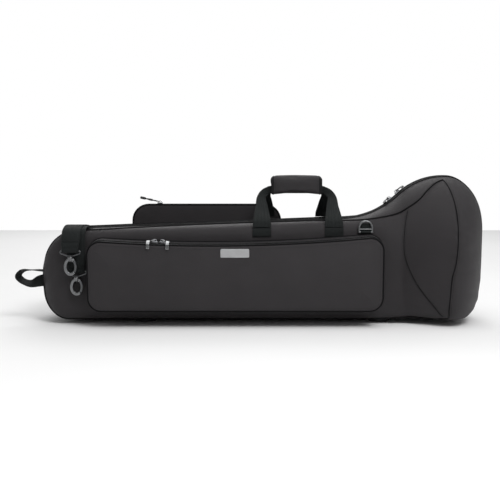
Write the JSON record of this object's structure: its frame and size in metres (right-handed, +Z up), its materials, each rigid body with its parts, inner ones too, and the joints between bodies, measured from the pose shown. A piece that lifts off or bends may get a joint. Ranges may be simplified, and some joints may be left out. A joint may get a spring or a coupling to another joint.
{
  "type": "trombone case",
  "caption": "Contoured soft case for a trombone, with zipped front and rear pockets, a padded carry handle, snap hooks on strap tails and a pull loop.",
  "frame": {"origin": "middle of the overall box's bottom, on the floor", "axes": "+X to the bell end, -Y to the front with the large pocket, +Z up"},
  "size_m": [1.0012, 0.25, 0.3112],
  "materials": {
    "nylon": "woven charcoal nylon",
    "webbing": "ribbed black webbing",
    "foam": "plush-covered foam",
    "coil": "nylon coil on woven tape",
    "steel": "satin nickel",
    "black_metal": "black enamel",
    "rubber": "moulded black rubber"
  },
  "bodies": {
    "front_half": {"front_half": "nylon", "front_zip_tape": "coil", "front_hinge_leaf": "webbing", "front_foot_narrow": "rubber", "front_foot_bell": "rubber", "front_pocket_gusset": "nylon", "front_pocket_inner_zip": "coil", "front_web_foot_narrow": "webbing", "front_web_foot_bell": "webbing", "d_ring_tab": "webbing", "strap_patch": "webbing", "strap_tail_a": "webbing", "strap_tail_b": "webbing", "pull_loop": "webbing", "pull_loop_patch": "webbing", "slide_cradle_narrow": "foam", "slide_cradle_bell": "foam", "slide_strap": "webbing", "mouthpiece_block": "foam"},
    "rear_half": {"rear_half": "nylon", "rear_zip_tape": "coil", "rear_hinge_leaf": "webbing", "rear_foot_narrow": "rubber", "rear_foot_bell": "rubber", "music_pocket_panel": "nylon", "music_inner_zip": "coil", "rear_web_foot_narrow": "webbing", "rear_web_foot_bell": "webbing", "bell_cradle_throat": "foam", "bell_cradle_flare": "foam"},
    "front_handle": {"front_handle_webbing": "webbing", "handle_grip": "webbing"},
    "rear_handle": {"rear_handle_webbing": "webbing"},
    "front_pocket": {"front_pocket_cover": "nylon", "front_pocket_outer_zip": "coil", "bare_plate": "steel"},
    "music_pocket": {"music_pocket_cover": "nylon", "music_outer_zip": "coil"},
    "main_slider_lower": {"main_slider_lower": "steel"},
    "main_pull_lower": {"main_pull_lower": "black_metal"},
    "main_slider_upper": {"main_slider_upper": "steel"},
    "main_pull_upper": {"main_pull_upper": "black_metal"},
    "pocket_slider_left": {"pocket_slider_left": "steel"},
    "pocket_pull_left": {"pocket_pull_left": "steel"},
    "pocket_slider_right": {"pocket_slider_right": "steel"},
    "pocket_pull_right": {"pocket_pull_right": "steel"},
    "music_slider": {"music_slider": "steel"},
    "music_cord_pull": {"music_cord_pull": "rubber"},
    "d_ring": {"d_ring": "steel"},
    "strap_eye_a": {"strap_eye_a": "steel"},
    "snap_hook_a": {"snap_hook_a": "steel"},
    "hook_gate_a": {"hook_gate_a": "steel"},
    "strap_eye_b": {"strap_eye_b": "steel"},
    "snap_hook_b": {"snap_hook_b": "steel"},
    "hook_gate_b": {"hook_gate_b": "steel"}
  },
  "joints": [
    {"name": "case_hinge", "type": "hinge", "parent": "front_half", "child": "rear_half", "pos_m": [0, 0, 0.0063], "axis": [-1, 0, 0], "range_deg": [0, 140]},
    {"name": "front_handle_fold", "type": "hinge", "parent": "front_half", "child": "front_handle", "pos_m": [0.0991, -0.07348, 0.205], "axis": [1, 0, 0], "range_deg": [0, 150]},
    {"name": "rear_handle_fold", "type": "hinge", "parent": "rear_half", "child": "rear_handle", "pos_m": [0.0991, 0.04, 0.2195], "axis": [-1, 0, 0], "range_deg": [0, 62]},
    {"name": "front_pocket_open", "type": "hinge", "parent": "front_half", "child": "front_pocket", "pos_m": [0, -0.0973, 0.035], "axis": [1, 0, 0], "range_deg": [0, 75]},
    {"name": "music_pocket_open", "type": "hinge", "parent": "rear_half", "child": "music_pocket", "pos_m": [0, 0.0786, 0.022], "axis": [-1, 0, 0], "range_deg": [0, 18]},
    {"name": "main_zip_lower", "type": "hinge", "parent": "front_half", "child": "main_slider_lower", "pos_m": [0.19412, 0, 0.387], "axis": [0, 1, 0], "range_deg": [0, 34]},
    {"name": "main_zip_lower_pull", "type": "hinge", "parent": "main_slider_lower", "child": "main_pull_lower", "pos_m": [0.29733, 0, 0.26213], "axis": [0, 1, 0], "range_deg": [0, 90]},
    {"name": "main_zip_upper", "type": "hinge", "parent": "front_half", "child": "main_slider_upper", "pos_m": [0.4114, 0, 0.16972], "axis": [0, 1, 0], "range_deg": [0, 38]},
    {"name": "main_zip_upper_pull", "type": "hinge", "parent": "main_slider_upper", "child": "main_pull_upper", "pos_m": [0.31323, 0, 0.27681], "axis": [0, -1, 0], "range_deg": [0, 90]},
    {"name": "pocket_zip_left", "type": "hinge", "parent": "front_pocket", "child": "pocket_slider_left", "pos_m": [-0.0767, -0.0973, 3.476], "axis": [0, 1, 0], "range_deg": [0, 1.8]},
    {"name": "pocket_zip_left_pull", "type": "hinge", "parent": "pocket_slider_left", "child": "pocket_pull_left", "pos_m": [-0.19388, -0.0973, 0.17919], "axis": [0, 1, 0], "range_deg": [0, 80]},
    {"name": "pocket_zip_right", "type": "hinge", "parent": "front_pocket", "child": "pocket_slider_right", "pos_m": [-0.0767, -0.0973, 3.476], "axis": [0, 1, 0], "range_deg": [-7.2, 0]},
    {"name": "pocket_zip_right_pull", "type": "hinge", "parent": "pocket_slider_right", "child": "pocket_pull_right", "pos_m": [-0.17791, -0.0973, 0.17866], "axis": [0, -1, 0], "range_deg": [0, 80]},
    {"name": "music_zip", "type": "slide", "parent": "music_pocket", "child": "music_slider", "axis": [1, 0, 0], "range_m": [0, 0.22]},
    {"name": "music_zip_pull", "type": "hinge", "parent": "music_slider", "child": "music_cord_pull", "pos_m": [-0.2026, 0.0786, 0.2501], "axis": [0, 1, 0], "range_deg": [0, 130]},
    {"name": "d_ring_swing", "type": "hinge", "parent": "front_half", "child": "d_ring", "pos_m": [0.23812, -0.07785, 0.19467], "axis": [1, 0, 0], "range_deg": [0, 90]},
    {"name": "strap_eye_a_swing", "type": "hinge", "parent": "front_half", "child": "strap_eye_a", "pos_m": [-0.3666, -0.0965, 0.15786], "axis": [-1, 0, 0], "range_deg": [0, 75]},
    {"name": "snap_hook_a_swivel", "type": "hinge", "parent": "strap_eye_a", "child": "snap_hook_a", "pos_m": [-0.3666, -0.0965, 0.14], "axis": [0, 0, 1], "range_deg": [-22, 22]},
    {"name": "hook_gate_a_open", "type": "hinge", "parent": "snap_hook_a", "child": "hook_gate_a", "pos_m": [-0.35857, -0.0965, 0.13544], "axis": [0, -1, 0], "range_deg": [0, 28], "stiffness_Nm_per_rad": 0.05, "springref_deg": -11.46},
    {"name": "strap_eye_b_swing", "type": "hinge", "parent": "front_half", "child": "strap_eye_b", "pos_m": [-0.3576, -0.0845, 0.11486], "axis": [-1, 0, 0], "range_deg": [0, 25]},
    {"name": "snap_hook_b_swivel", "type": "hinge", "parent": "strap_eye_b", "child": "snap_hook_b", "pos_m": [-0.3576, -0.0845, 0.097], "axis": [0, 0, 1], "range_deg": [-25, 25]},
    {"name": "hook_gate_b_open", "type": "hinge", "parent": "snap_hook_b", "child": "hook_gate_b", "pos_m": [-0.34957, -0.0845, 0.09244], "axis": [0, -1, 0], "range_deg": [0, 28], "stiffness_Nm_per_rad": 0.05, "springref_deg": -11.46}
  ]
}
